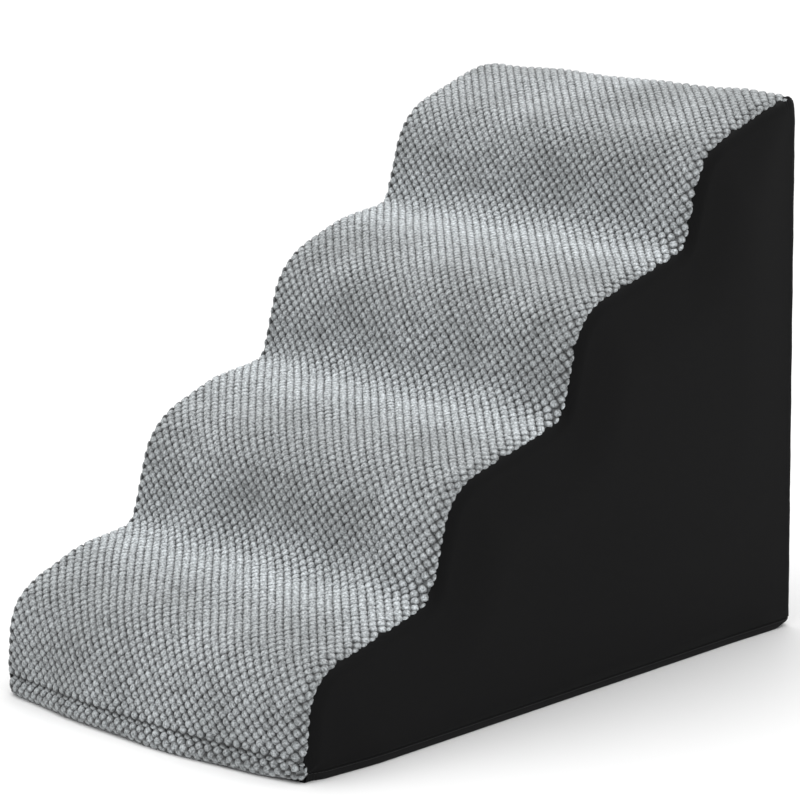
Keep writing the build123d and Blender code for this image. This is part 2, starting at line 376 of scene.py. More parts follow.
def cover_surface(start, end, inset, groove=None, meets_plush=None, fold_start=False, fold_end=False):
    """A cover panel's points between two places along the outline, from seam to seam, with the place of each
    along and across the cloth. inset is its depth under the plain solid's face."""
    cross_step = 0.008
    flat = np.linspace(-flat_half[-1], flat_half[1], round((flat_half[-1] + flat_half[1]) / cross_step) + 1)
    turn = np.linspace(0, seam_turn, 7)[1:]
    across = np.concatenate([-(flat_half[-1] + edge_radius[-1] * turn)[::-1], flat,
                             flat_half[1] + edge_radius[1] * turn])
    inner = along[(along > start + 1e-4) & (along < end - 1e-4)]
    rows = np.concatenate([[start], inner, [end]])
    slack_rows = np.interp(rows, along[shared], slack_along[shared])
    tight = read_along(rows, along, outline)
    loose = read_along(slack_rows, slack_along, slack_outline)
    tight_normal = read_along(rows, along, outward(outline))
    loose_normal = read_along(slack_rows, slack_along, outward(slack_outline))
    x, fall, slack = (np.zeros((len(rows), len(across))) for _ in range(3))
    for side in (1, -1):
        on_side = across * side >= 0
        out = np.abs(across[on_side])
        radius, pull, plush_side, _, _ = edge_shape(tight, side)
        bend = np.clip(out - flat_half[side], 0, None) / edge_radius[side]
        flat_x = np.minimum(out, flat_half[side])[None, :] / flat_half[side]
        flat_reach = (half_width - pull - radius)[:, None]
        x[:, on_side] = side * (flat_x * flat_reach + radius[:, None] * np.sin(bend))
        give = edge_squeeze[side] * plush_side[:, None]
        squeeze = give * (1 - smooth((cloth_half[side] - out) / squeeze_reach))
        fall[:, on_side] = radius[:, None] * (1 - np.cos(bend)) + squeeze
        slack[:, on_side] = smooth((1 - out / cloth_half[side]) / 0.4)
    ripple = ripple_height * (np.sin(rows[:, None] * 61 + across * 23)
                              + np.sin(across * 47 - rows[:, None] * 19))
    leftness = np.clip(0.5 - across / cloth_width, 0, 1) ** 1.5
    depth = fall + inset - ripple * slack - np.interp(rows, along, swell)[:, None] * leftness
    if meets_plush is not None:
        depth = depth + pile_sink * (1 - smooth((rows - meets_plush) / 0.035))[:, None]
    if groove is not None:
        depth = depth + groove_depth * np.exp(-((rows - groove) / groove_width) ** 2)[:, None]
    x = np.hstack([x[:, :1] + seam_allowance / 2, x, x[:, -1:] - seam_allowance / 2])
    depth = np.hstack([depth[:, :1] + seam_allowance, depth, depth[:, -1:] + seam_allowance])
    slack = np.pad(slack, ((0, 0), (1, 1)))
    across = np.concatenate([[across[0] - seam_allowance], across, [across[-1] + seam_allowance]])
    grids = [x, depth, slack, tight, loose, tight_normal, loose_normal]
    if fold_start:
        grids = [np.concatenate([grid[:1], grid]) for grid in grids]
        grids[1][0] += seam_allowance
        rows = np.concatenate([[start - seam_allowance], rows])
    if fold_end:
        grids = [np.concatenate([grid, grid[-1:]]) for grid in grids]
        grids[1][-1] += seam_allowance
        rows = np.concatenate([rows, [end + seam_allowance]])
    x, depth, slack, tight, loose, tight_normal, loose_normal = grids
    points = np.zeros((len(rows), len(across), 3))
    points[..., 0] = x
    for i in (0, 1):
        face = tight[:, i][:, None] * (1 - slack) + loose[:, i][:, None] * slack
        normal = tight_normal[:, i][:, None] * (1 - slack) + loose_normal[:, i][:, None] * slack
        points[..., i + 1] = face - normal * depth
    return settled(points), rows, across


def sheet_mesh(name, points, rows, across):
    """A grid of points as a smooth mesh, with its place along and across the cloth as UV and direction."""
    count = points.shape[1]
    faces = [(i * count + j, i * count + j + 1, (i + 1) * count + j + 1, (i + 1) * count + j)
             for i in range(points.shape[0] - 1) for j in range(count - 1)]
    mesh = bpy.data.meshes.new(name)
    mesh.from_pydata(points.reshape(-1, 3), [], faces)
    mesh.shade_smooth()
    place = np.stack(np.meshgrid(across, rows), axis=2).reshape(-1, 2)
    corners = np.empty(len(mesh.loops), int)
    mesh.loops.foreach_get("vertex_index", corners)
    mesh.uv_layers.new(name="cloth").data.foreach_set("uv", place[corners].ravel())
    direction = np.gradient(points, axis=0).reshape(-1, 3)
    direction /= np.maximum(np.linalg.norm(direction, axis=1), 1e-9)[:, None]
    mesh.attributes.new("pile_way", "FLOAT_VECTOR", "POINT").data.foreach_set("vector", direction.ravel())
    # painted highlight: a band on each tread, just before the valley, where the pile's tips are painted paler
    pressed = sum(np.exp(-((rows - valley + tread_highlight_back) / tread_spread) ** 2) for valley in valleys)
    pressed = np.repeat(pressed, len(across) * 3)
    mesh.attributes.new("pressed", "FLOAT_VECTOR", "POINT").data.foreach_set("vector", pressed)
    return put(name, mesh)


def thicken(piece, thickness):
    """Gives a sheet its cloth's thickness, inwards."""
    solid = piece.modifiers.new("thickness", "SOLIDIFY")
    solid.thickness = thickness
    solid.offset = -1


nub_across = 0.0053
nub_along = 0.0052
nub_sink = 0.0012
nub_past_seam = 0.0035          # lattice places this far past a seam keep a nub, squashed against it
nub_overhang = 0.0026
groove_spare = 0.0012
nub_least_trim = 0.4
nub_squareness = 1.55           # 1 is a lozenge, 2 is round
plush_backing_thickness = 0.002


def nub_mesh():
    """One nub of pile: a rounded lozenge, flat-topped and full at its sides."""
    ring_count, sides = 4, 10
    radii = (1.0, 0.93, 0.75, 0.40)
    lifts = (0.0, 0.46, 0.84, 0.98)
    points, crown = [], []
    for ring in range(ring_count):
        for side in range(sides):
            turn = 2 * math.pi * side / sides
            c, s = math.cos(turn), math.sin(turn)
            out = abs(c) ** nub_squareness + abs(s) ** nub_squareness
            reach = radii[ring] * out ** (-1 / nub_squareness)
            lump = 1 + 0.05 * math.sin(3 * turn + ring)
            points.append((nub_across * reach * c * lump, nub_along * reach * s * lump,
                           -nub_sink + lifts[ring] * (pile_height + nub_sink)))
            crown.append(lifts[ring])
    points.append((0.0002, -0.0003, pile_height))
    crown.append(1.0)
    faces = [(ring * sides + side, ring * sides + (side + 1) % sides,
              (ring + 1) * sides + (side + 1) % sides, (ring + 1) * sides + side)
             for ring in range(ring_count - 1) for side in range(sides)]
    last = (ring_count - 1) * sides
    faces += [(last + side, last + (side + 1) % sides, last + sides) for side in range(sides)]
    mesh = bpy.data.meshes.new("nub")
    mesh.from_pydata(points, [], faces)
    mesh.shade_smooth()
    mesh.attributes.new("crown", "FLOAT", "POINT").data.foreach_set("value", crown)
    return put("nub", mesh)


def tree_inputs(tree, sockets):
    """Named inputs for a Geometry Nodes tree, and its group input node."""
    for name, kind in sockets:
        tree.interface.new_socket(name, in_out="INPUT", socket_type="NodeSocket" + kind)
    tree.interface.new_socket("Geometry", in_out="OUTPUT", socket_type="NodeSocketGeometry")
    return tree.nodes.new("NodeGroupInput").outputs


def scattered(tree, seed, low, high, salt):
    """A random number for each point or instance, between two values."""
    inputs = {2: low, 3: high, 8: math_of(tree, "ADD", seed, float(salt))}
    return shader_node(tree, "FunctionNodeRandomValue", inputs, data_type="FLOAT").outputs[1]


def field(tree, name, kind="FLOAT_VECTOR"):
    """A named attribute, read back."""
    return socket_of(tree, "GeometryNodeInputNamedAttribute", {"Name": name}, data_type=kind)


def store(tree, geometry, name, value, kind="FLOAT_VECTOR", domain="POINT"):
    """The geometry with a value kept under a name."""
    inputs = {"Geometry": geometry, "Name": name, "Value": value}
    return socket_of(tree, "GeometryNodeStoreNamedAttribute", inputs, data_type=kind, domain=domain)


def give_out(tree, copies, finish):
    """Ends a tree: its copies made real, with their finish."""
    real = socket_of(tree, "GeometryNodeRealizeInstances", {0: copies})
    finished = socket_of(tree, "GeometryNodeSetMaterial", {"Geometry": real, "Material": finish})
    tree.links.new(finished, tree.nodes.new("NodeGroupOutput").inputs[0])


def pile_tree():
    """Nubs on a centred lattice over a sheet, each stood on the cloth and turned with its pile."""
    tree = bpy.data.node_groups.new("nubby_pile", "GeometryNodeTree")
    numbers = ("Pitch Across", "Pitch Along", "Left", "Right", "Start", "End", "Groove", "Wander",
               "Size Spread", "Lean")
    given = tree_inputs(tree, (("Geometry", "Geometry"), ("Nub", "Object"), ("Finish", "Material"),
                               *((name, "Float") for name in numbers), ("Seed", "Int")))
    calc, make = partial(math_of, tree), partial(socket_of, tree)
    chance = partial(scattered, tree, given["Seed"])
    pitch_x, pitch_y = given["Pitch Across"], given["Pitch Along"]
    half_count = calc("FLOOR", calc("DIVIDE", calc("MAXIMUM", given["Left"], given["Right"]), pitch_x))
    columns = calc("MULTIPLY_ADD", half_count, 2.0, 3.0)
    first_row = calc("FLOOR", calc("DIVIDE", given["Start"], pitch_y))
    last_row = calc("CEIL", calc("DIVIDE", given["End"], pitch_y))
    rows = calc("ADD", calc("SUBTRACT", last_row, first_row), 1.0)
    middle = calc("MULTIPLY", calc("ADD", first_row, last_row), 0.5)
    both = tree.nodes.new("GeometryNodeJoinGeometry")
    for shift in (0.0, 0.5):
        grid = make("GeometryNodeMeshGrid", {
            "Vertices X": columns, "Vertices Y": rows,
            "Size X": calc("MULTIPLY", calc("SUBTRACT", columns, 1.0), pitch_x),
            "Size Y": calc("MULTIPLY", calc("SUBTRACT", rows, 1.0), pitch_y)})
        centre = make("ShaderNodeCombineXYZ", {"X": calc("MULTIPLY", pitch_x, shift),
                                               "Y": calc("MULTIPLY", calc("ADD", middle, shift), pitch_y)})
        lattice = make("GeometryNodeTransform", {"Geometry": grid, "Translation": centre})
        tree.links.new(lattice, both.inputs[0])
    wander = make("ShaderNodeCombineXYZ", {
        name: calc("MULTIPLY", chance(-1.0, 1.0, salt), given["Wander"])
        for name, salt in (("X", 1), ("Y", 2))})
    strayed = make("GeometryNodeSetPosition", {"Geometry": both.outputs[0], "Offset": wander})
    spot = make("GeometryNodeInputPosition")
    parts = shader_node(tree, "ShaderNodeSeparateXYZ", {0: spot}).outputs
    left_limit = calc("MULTIPLY", given["Left"], -1.0)
    past = calc("MAXIMUM", calc("SUBTRACT", parts[0], given["Right"]), calc("SUBTRACT", left_limit, parts[0]))
    early = calc("LESS_THAN", parts[1], given["Start"])
    late = calc("GREATER_THAN", parts[1], given["End"])
    unwanted = calc("ADD", calc("GREATER_THAN", past, nub_past_seam), calc("ADD", early, late))
    cut = partial(make, "GeometryNodeDeleteGeometry", domain="POINT", mode="ALL")
    wanted = cut({"Geometry": strayed, "Selection": unwanted})
    held_x = calc("MAXIMUM", calc("MINIMUM", parts[0], given["Right"]), left_limit)
    held_spot = make("ShaderNodeCombineXYZ", {"X": held_x, "Y": parts[1]})
    held = make("GeometryNodeSetPosition", {"Geometry": wanted, "Position": held_spot})
    seam_room = calc("MULTIPLY", past, -1.0)
    groove_room = calc("ABSOLUTE", calc("SUBTRACT", parts[1], given["Groove"]))
    for name, room, spare, size in (("trim_across", seam_room, nub_overhang, nub_across),
                                    ("trim_along", groove_room, groove_spare, nub_along)):
        share = calc("DIVIDE", calc("ADD", room, spare), size)
        trim = make("ShaderNodeClamp", {"Value": share, "Min": nub_least_trim, "Max": 1.0})
        held = store(tree, held, name, trim, "FLOAT")
    # carries the cloth's normal, pile direction and painted tread highlight over to each nub
    for name, value in (("at_normal", make("GeometryNodeInputNormal")), ("at_way", field(tree, "pile_way")),
                        ("pressed", field(tree, "pressed")), ("where", spot)):
        found = shader_node(tree, "GeometryNodeSampleUVSurface", {
            0: given["Geometry"], "Value": value, "Source UV Map": field(tree, "cloth"), "Sample UV": spot},
            data_type="FLOAT_VECTOR").outputs
        if name != "where":
            held = store(tree, held, name, found[0])
    outside = calc("SUBTRACT", 1.0, found["Is Valid"])
    kept = cut({"Geometry": held, "Selection": outside})
    placed = make("GeometryNodeSetPosition", {"Geometry": kept, "Position": found[0]})
    stood = make("FunctionNodeAlignRotationToVector", {"Vector": field(tree, "at_normal")}, axis="Z")
    turned = make("FunctionNodeAlignRotationToVector", {"Rotation": stood, "Vector": field(tree, "at_way")},
                  axis="Y", pivot_axis="Z")
    tilt = make("ShaderNodeCombineXYZ", {
        name: calc("MULTIPLY", chance(low, high, salt), given["Lean"])
        for name, low, high, salt in (("X", 0.0, 2.4, 3), ("Y", -0.2, 1.8, 4), ("Z", -1.0, 1.0, 5))})
    tilt_turn = make("FunctionNodeEulerToRotation", {0: tilt})
    leaned = make("FunctionNodeRotateRotation", {"Rotation": turned, "Rotate By": tilt_turn},
                  rotation_space="LOCAL")
    spread = [calc("ADD", 1.0, calc("MULTIPLY", chance(-1.0, 1.0, salt), given["Size Spread"]))
              for salt in (6, 7, 8)]
    for i, name in enumerate(("trim_across", "trim_along")):
        spread[i] = calc("MULTIPLY", spread[i], field(tree, name, "FLOAT"))
    size = make("ShaderNodeCombineXYZ", dict(zip("XYZ", spread)))
    nub = shader_node(tree, "GeometryNodeObjectInfo", {"Object": given["Nub"]}).outputs["Geometry"]
    copies = make("GeometryNodeInstanceOnPoints", {"Points": placed, "Instance": nub, "Rotation": leaned,
                                                   "Scale": size})
    give_out(tree, store(tree, copies, "shade", chance(0.0, 1.0, 9), "FLOAT", "INSTANCE"), given["Finish"])
    return tree


def grown(base, tree, name, **values):
    """The plain mesh that a Geometry Nodes tree makes on a base object."""
    modifier = base.modifiers.new(tree.name, "NODES")
    modifier.node_group = tree
    for item in tree.interface.items_tree:
        key = item.name.lower().replace(" ", "_")
        if item.in_out == "INPUT" and key in values:
            modifier[item.identifier] = values[key]
    mesh = bpy.data.meshes.new_from_object(base.evaluated_get(bpy.context.evaluated_depsgraph_get()))
    base.modifiers.remove(modifier)
    for spare in ("at_normal", "at_way", "trim_across", "trim_along"):
        if spare in mesh.attributes:
            mesh.attributes.remove(mesh.attributes[spare])
    return put(name, mesh)


def plush_finish(name, backing):
    """Grey pile: painted shade, near black, low on the nubs' sides and on the backing between them, pale at
    their crowns, in broad patches where the nap lies over, with a painted highlight on the treads before each
    valley.
    """
    material, tree, shader = new_finish(name, Roughness=0.95, Sheen_Weight=0.25, Sheen_Roughness=0.6)
    pile = use_group(tree, fibre, Fibre_Scale=480.0, Blotch_Scale=11.0, Contrast=4.5)
    crown, shade, tread_highlight_share = (shader_node(tree, "ShaderNodeAttribute", attribute_name=word).outputs["Fac"]
                          for word in ("crown", "shade", "pressed"))
    nap = socket_of(tree, "ShaderNodeMapRange", {"Value": pile.outputs["Blotch"], "From Min": 0.36,
                                                 "From Max": 0.64})
    tip = colour_mix(tree, nap, (0.40, 0.425, 0.435), (0.56, 0.593, 0.612))
    # painted highlight: tips paler and bluer on the treads before each valley, where the light falls
    tip = colour_mix(tree, math_of(tree, "MULTIPLY", tread_highlight_share, 0.75, clamp=True), tip, (0.74, 0.79, 0.82))
    tip = colour_mix(tree, math_of(tree, "MULTIPLY", shade, 0.16), tip, (0.30, 0.315, 0.32))
    fuzz = colour_mix(tree, pile.outputs["Fibre"], (0.35, 0.35, 0.35), (1.0, 1.0, 1.0))
    mottled = colour_mix(tree, 1.0, tip, fuzz, blend="MULTIPLY")
    if backing:
        # painted shade: the backing between the nubs is painted near black, as the shade down in the gaps
        mottled = colour_mix(tree, 0.75, mottled, (0.05, 0.053, 0.055))
    else:
        # painted shade: each nub is painted near black low on its sides, darkening the gaps between nubs
        mottled = colour_mix(tree, math_of(tree, "POWER", crown, 3.4), (0.012, 0.0125, 0.013), mottled)
    tree.links.new(mottled, shader.inputs["Base Color"])
    bump(tree, shader, pile.outputs["Height"], 0.0012, 0.8)
    return material


plush = plush_finish("grey_plush", backing=False)
plush_back = plush_finish("plush_backing", backing=True)
pile = pile_tree()
nub = nub_mesh()
nub_pitch_across = 0.0104
nub_pitch_along = 0.0109
lattice_margin = 0.0004
nub_values = dict(nub=nub, finish=plush, pitch_across=nub_pitch_across, pitch_along=nub_pitch_along,
                  left=cloth_half[-1] - lattice_margin, right=cloth_half[1] - lattice_margin, groove=hem_line,
                  wander=0.00025, size_spread=0.05, lean=0.12)

points, rows, across = cover_surface(hem_line, crest_line, pile_height, groove=hem_line, fold_end=True)
tread = sheet_mesh("tread_backing", points, rows, across)
stops = [hem_line, *valleys, crest_line - 0.002]
for tier, (start, end) in enumerate(zip(stops, stops[1:]), 1):
    nubs = grown(tread, pile, f"tread_nubs_{tier}", start=start, end=end, seed=tier * 20, **nub_values)
    fit_in(nubs, plush)
thicken(tread, plush_backing_thickness)
fit_in(tread, plush_back, replaces=["tread_panel"])


# ---- Front hem ----
# The foot of the same plush, turned under and stitched down, with a groove along the stitch line.
# It grips the floor and covers the base panel's front edge.

hem_start = 0.002
points, rows, across = cover_surface(hem_start, hem_line, pile_height, groove=hem_line)
front_hem = sheet_mesh("front_hem_backing", points, rows, across)
hem_nubs = grown(front_hem, pile, "front_hem_nubs", start=hem_start, end=hem_line, seed=7, **nub_values)
fit_in(hem_nubs, plush)
thicken(front_hem, plush_backing_thickness)
fit_in(front_hem, plush_back, replaces=["front_hem"])


# ---- Side panels ----
# Smooth black cloth sewn to the plush along the tiers and rolled over the foam's edge.
# The foam fills it out, so it swells a little from its seams towards the middle.

side_hem_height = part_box("right_hem")[1].z
side_swell_reach = 0.09         # the side has swollen to its full width this far in from its seams
pucker_height = 0.0004
side_cloth_thickness = 0.0015
panel_step = 0.004


def cloth_finish(name, low, high, weave_scale, roughness=0.72):
    """Plain woven black cloth with a faint thread pattern and a soft sheen."""
    material, tree, shader = new_finish(name, Roughness=roughness, Specular_IOR_Level=0.08, Sheen_Weight=0.02,
                                        Sheen_Roughness=0.4)
    yarn = use_group(tree, fibre, Fibre_Scale=1400.0, Blotch_Scale=6.0, Contrast=1.6)
    place = tree.nodes.new("ShaderNodeTexCoord").outputs["Object"]
    turned = shader_node(tree, "ShaderNodeMapping", {"Vector": place, "Rotation": (math.radians(45), 0, 0)})
    threads = [shader_node(tree, "ShaderNodeTexWave", {"Vector": turned.outputs[0], "Scale": weave_scale,
                                                       "Distortion": 0.6, "Detail": 1.0},
                           bands_direction=way).outputs["Fac"] for way in ("Y", "Z")]
    weave = math_of(tree, "MULTIPLY", *threads)
    tint = colour_mix(tree, yarn.outputs["Blotch"], low, high)
    tint = colour_mix(tree, weave, colour_mix(tree, 0.25, tint, (0.004, 0.004, 0.004)), tint)
    tree.links.new(tint, shader.inputs["Base Color"])
    relief = math_of(tree, "ADD", weave, yarn.outputs["Height"])
    bump(tree, shader, relief, 0.00015, 0.5)
    return material


def side_surface(bottom, side):
    """Points of a side panel, as if on the right: a column under each place on the outline, to its hem."""
    over = (along > foot_tuck + 0.004) & (along < along[-1] - foot_tuck - 0.004)
    edge, way = outlines[side][over], outward(outlines[side])[over]
    radius, _, plush_side, _, _ = edge_shape(edge, side)
    seam_depth = radius * (1 - math.cos(seam_turn)) + (edge_squeeze[side] + pile_sink) * plush_side
    edge = edge - way * seam_depth[:, None]
    under = edge[:, 1] > bottom + 0.002
    edge, way = edge[under], way[under]
    share = np.concatenate([np.linspace(0, 0.12, 16), np.linspace(0.12, 1, 34)[1:]])
    column = edge[:, None, :] + np.zeros((1, len(share), 1))
    column[..., 1] = edge[:, 1][:, None] + (bottom - edge[:, 1])[:, None] * share
    flat = column.reshape(-1, 2)
    radius, pull, plush_side, to_wave, to_rear = edge_shape(flat, side)
    near = (to_wave ** -4.0 + to_rear ** -4.0) ** -0.25
    under_seam = (edge_squeeze[side] + pile_sink) * plush_side
    turn = np.clip(radius - near + under_seam, 0, radius * math.cos(seam_turn))
    x = half_width - (radius - np.sqrt(radius ** 2 - turn ** 2))
    x = x - pull * (1 - smooth(near / side_swell_reach))
    pucker = np.exp(-((near - radius * 0.4) / 0.008) ** 2) * pucker_height
    x = x + pucker * np.sin(flat[:, 0] * 2100) * np.sin(flat[:, 1] * 1700)
    points = np.stack([x, flat[:, 0], flat[:, 1]], axis=1).reshape(len(edge), len(share), 3)
    turned_in = points[:, :1].copy()
    turned_in[:, 0, 0] -= seam_allowance / 2
    turned_in[:, 0, 1:] -= way * seam_allowance
    return settled(np.concatenate([turned_in, points], axis=1))


black_cloth = cloth_finish("black_cloth", (0.0036, 0.0036, 0.0038), (0.0050, 0.0050, 0.0053), 330.0)
side_points = {side: side_surface(side_hem_height, side) for side in (1, -1)}
for name, side in (("right_side_panel", 1), ("left_side_panel", -1)):
    points = side_points[side] * (side, 1, 1)
    if side > 0:
        points = points[:, ::-1]
    rows, columns = (np.arange(count) * panel_step for count in points.shape[:2])
    panel = sheet_mesh(name.replace("panel", "cloth"), points, rows, columns)
    thicken(panel, side_cloth_thickness)
    fit_in(panel, black_cloth, replaces=[name])


# ---- Rear panels ----
# The same black cloth, rolled over the top rear edge to meet the plush, in two parts.
# Their edges are turned under above and below the zipper and stitched to its tapes, and a small
# tab of the cloth closes each end of the slot.

slot_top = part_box("rear_upper_panel")[0].z
slot_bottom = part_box("rear_lower_panel")[1].z
rear_hem_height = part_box("rear_hem")[1].z
rear_cloth_thickness = 0.0018


def rear_sheet(name, start, end, node):
    """One of the rear panels, its edges turned under."""
    points, rows, across = cover_surface(start, end, 0.0, meets_plush=crest_line, fold_start=True,
                                         fold_end=True)
    panel = sheet_mesh(name, points, rows, across)
    thicken(panel, rear_cloth_thickness)
    fit_in(panel, black_cloth, replaces=[node])


def at_height(z):
    """The exact place along the straight rear face at a height."""
    after = np.argmax((outline[:, 1] < z) & (along > crest_line))
    return along[after] - (z - outline[after, 1])


rear_sheet("rear_upper_cloth", crest_line, at_height(slot_top), "rear_upper_panel")
rear_sheet("rear_lower_cloth", at_height(slot_bottom), at_height(rear_hem_height), "rear_lower_panel")

tab_start = 0.1775              # the slot's ends, out from the middle, are closed over the zipper's tapes
tab_lap = 0.002
tab_under = 0.0006
tab_thickness = 0.0008
tab_points, tab_rows, tab_across = cover_surface(at_height(slot_top + tab_lap),
                                                 at_height(slot_bottom - tab_lap), tab_under)
for name, side in (("right_slot_tab", 1), ("left_slot_tab", -1)):
    kept = tab_points[0, :, 0] * side > tab_start
    places = tab_points[:, kept]
    places[:, 0 if side > 0 else -1, 0] = side * tab_start
    tab = sheet_mesh(name, places, tab_rows, tab_across[kept])
    thicken(tab, tab_thickness)
    fit_in(tab, black_cloth)


def row_tree():
    """Copies of a small part set along a line at an even pitch, each lying along the line."""
    tree = bpy.data.node_groups.new("row_of_parts", "GeometryNodeTree")
    given = tree_inputs(tree, (("Geometry", "Geometry"), ("Part", "Object"), ("Finish", "Material"),
                               ("Pitch", "Float"), ("Stray", "Float"), ("Seed", "Int")))
    make = partial(socket_of, tree)
    curve = make("GeometryNodeMeshToCurve", {"Mesh": given["Geometry"]})
    spaced = make("GeometryNodeResampleCurve", {"Curve": curve, "Length": given["Pitch"]}, mode="LENGTH")
    lying = make("FunctionNodeAlignRotationToVector", {"Vector": make("GeometryNodeInputTangent")}, axis="X")
    stray = make("ShaderNodeCombineXYZ", {
        name: math_of(tree, "MULTIPLY", scattered(tree, given["Seed"], -1.0, 1.0, salt), given["Stray"])
        for name, salt in (("Y", 1), ("Z", 2))})
    stray_turn = make("FunctionNodeEulerToRotation", {0: stray})
    strayed = make("FunctionNodeRotateRotation", {"Rotation": lying, "Rotate By": stray_turn},
                   rotation_space="LOCAL")
    part = shader_node(tree, "GeometryNodeObjectInfo", {"Object": given["Part"]}).outputs["Geometry"]
    copies = make("GeometryNodeInstanceOnPoints", {"Points": spaced, "Instance": part, "Rotation": strayed})
    give_out(tree, copies, given["Finish"])
    return tree


def capsule(name, length, width, depth, sides=6, rings=5):
    """A small rounded bar lying along X, closed at its ends."""
    points, faces = [(-length / 2, 0.0, 0.0)], []
    for ring in range(1, rings + 1):
        lean = math.pi * ring / (rings + 1)
        for side in range(sides):
            turn = 2 * math.pi * side / sides
            fat = math.sin(lean) ** 0.6
            points.append((-length / 2 * math.cos(lean), width / 2 * fat * math.cos(turn),
                           depth / 2 * fat * math.sin(turn)))
    points.append((length / 2, 0.0, 0.0))
    for side in range(sides):
        after = (side + 1) % sides
        faces.append((0, 1 + after, 1 + side))
        for ring in range(rings - 1):
            base = 1 + ring * sides
            faces.append((base + side, base + after, base + sides + after, base + sides + side))
        faces.append((len(points) - 1, 1 + (rings - 1) * sides + side, 1 + (rings - 1) * sides + after))
    mesh = bpy.data.meshes.new(name)
    mesh.from_pydata(points, [], faces)
    mesh.shade_smooth()
    return put(name, mesh)


rows_of = row_tree()
thread = plain_finish("black_thread", ((0.012, 0.012, 0.012), (0.026, 0.026, 0.027)), "Fibre",
                      (3000.0, 60.0, 1.6), (0.0001, 0.4), Roughness=0.5, Specular_IOR_Level=0.3)
stitch = capsule("stitch", length=0.0029, width=0.0006, depth=0.0006)
stitch_pitch = 0.0035


def row_along(name, line, part, finish, pitch, stray=0.04, seed=1):
    """A row of small parts along a line of 3-D points, as one piece."""
    mesh = bpy.data.meshes.new(name + "_line")
    mesh.from_pydata(line, [(i, i + 1) for i in range(len(line) - 1)], [])
    base = put(name + "_line", mesh)
    piece = grown(base, rows_of, name, part=part, finish=finish, pitch=pitch, stray=stray, seed=seed)
    bpy.data.objects.remove(base)
    return piece


def stitch_row(name, line, seed):
    """A row of stitches in black thread along a line."""
    piece = row_along(name, line, stitch, thread, stitch_pitch, seed=seed)
    fit_in(piece, thread)


stitch_proud = -0.0001
slot_stitch_gap = 0.0025
for name, place, seed in (("slot_stitches_upper", at_height(slot_top + slot_stitch_gap), 3),
                          ("slot_stitches_lower", at_height(slot_bottom - slot_stitch_gap), 4)):
    seam_points, _, _ = cover_surface(place - 0.001, place, stitch_proud)
    stitch_row(name, seam_points[-1, 2:-2], seed)


# ---- Side and rear hems ----
# A folded band of black binding around the bottom edge, stitched through the base cloth.
# It stands a little proud of the panels and carries the ramp's weight along its edges.

binding_proud = 0.0008
binding_depth = 0.006
binding_step = 0.006
fold_step = 0.003
corner_lift = 0.005
corner_reach = 0.022
hem_stitch_out = 0.0007
hem_stitch_up = 0.72            # of the hem's height


def plan_normals(path):
    """Unit normals of a plan line, to the right of its way."""
    tangent = np.gradient(path, axis=0)
    normal = np.stack([tangent[:, 1], -tangent[:, 0]], axis=1)
    return normal / np.linalg.norm(normal, axis=1)[:, None]


def bind(node, line, outwards, high, corner, seed, turned=False):
    """A soft band along the foot of a panel, lifted a little at the rear corners, and its row of stitches.
    It goes from its inner face under the bottom, up the outer face and over the top."""
    profile = [(-binding_depth, 0.0004), (-0.001, 0.0), (0.0, 0.0008), (binding_proud, high / 2),
               (0.0, high - 0.0010), (-0.0012, high), (-binding_depth, high - 0.0004)]
    points = np.zeros((len(line), len(profile), 3))
    for j, (out, z) in enumerate(profile):
        points[:, j, :2] = line + outwards * out
        points[:, j, 2] = z + corner * corner_lift * (1 - z / high)
    if turned:
        points = points[:, ::-1]
    places = np.arange(len(line)) * binding_step, np.arange(points.shape[1]) * fold_step
    hem = sheet_mesh(node.replace("hem", "binding"), points, *places)
    fit_in(hem, binding, replaces=[node])
    stitch_height = np.full(len(line), high * hem_stitch_up)
    stitch_line = np.column_stack([line + outwards * hem_stitch_out, stitch_height])
    stitch_row(node.replace("hem", "hem_stitches"), stitch_line, seed)


binding = cloth_finish("black_binding", (0.0085, 0.0085, 0.0088), (0.0125, 0.0125, 0.013), 240.0, 0.8)
side_line = {}
for side, panel_points in side_points.items():
    side_foot = panel_points[:, -1, :2]
    side_foot = side_foot[np.argsort(side_foot[:, 1], kind="stable")]
    apart = np.concatenate([[True], np.diff(side_foot[:, 1]) > 0.0004])
    side_line[side] = side_foot[apart]
for name, side in (("right_hem", 1), ("left_hem", -1)):
    line = side_line[side] * (side, 1)
    corner = 1 - smooth((line[-1, 1] - line[:, 1]) / corner_reach)
    bind(name, line, plan_normals(line) * side, side_hem_height, corner, seed=5, turned=side > 0)

rear_points, _, _ = cover_surface(at_height(rear_hem_height) - 0.002, at_height(rear_hem_height), 0.0)
rear_line = rear_points[-1, 1:-1, :2]
corner = 1 - smooth((rear_line[-1, 0] - np.abs(rear_line[:, 0])) / corner_reach)
bind("rear_hem", rear_line, -plan_normals(rear_line), rear_hem_height, corner, seed=6)


# ---- Base panel and grip dots ----
# A flat panel of black non-slip cloth under the foam, with rows of small rubber dots.
# The bindings close its edges and lift its rear corners a little.

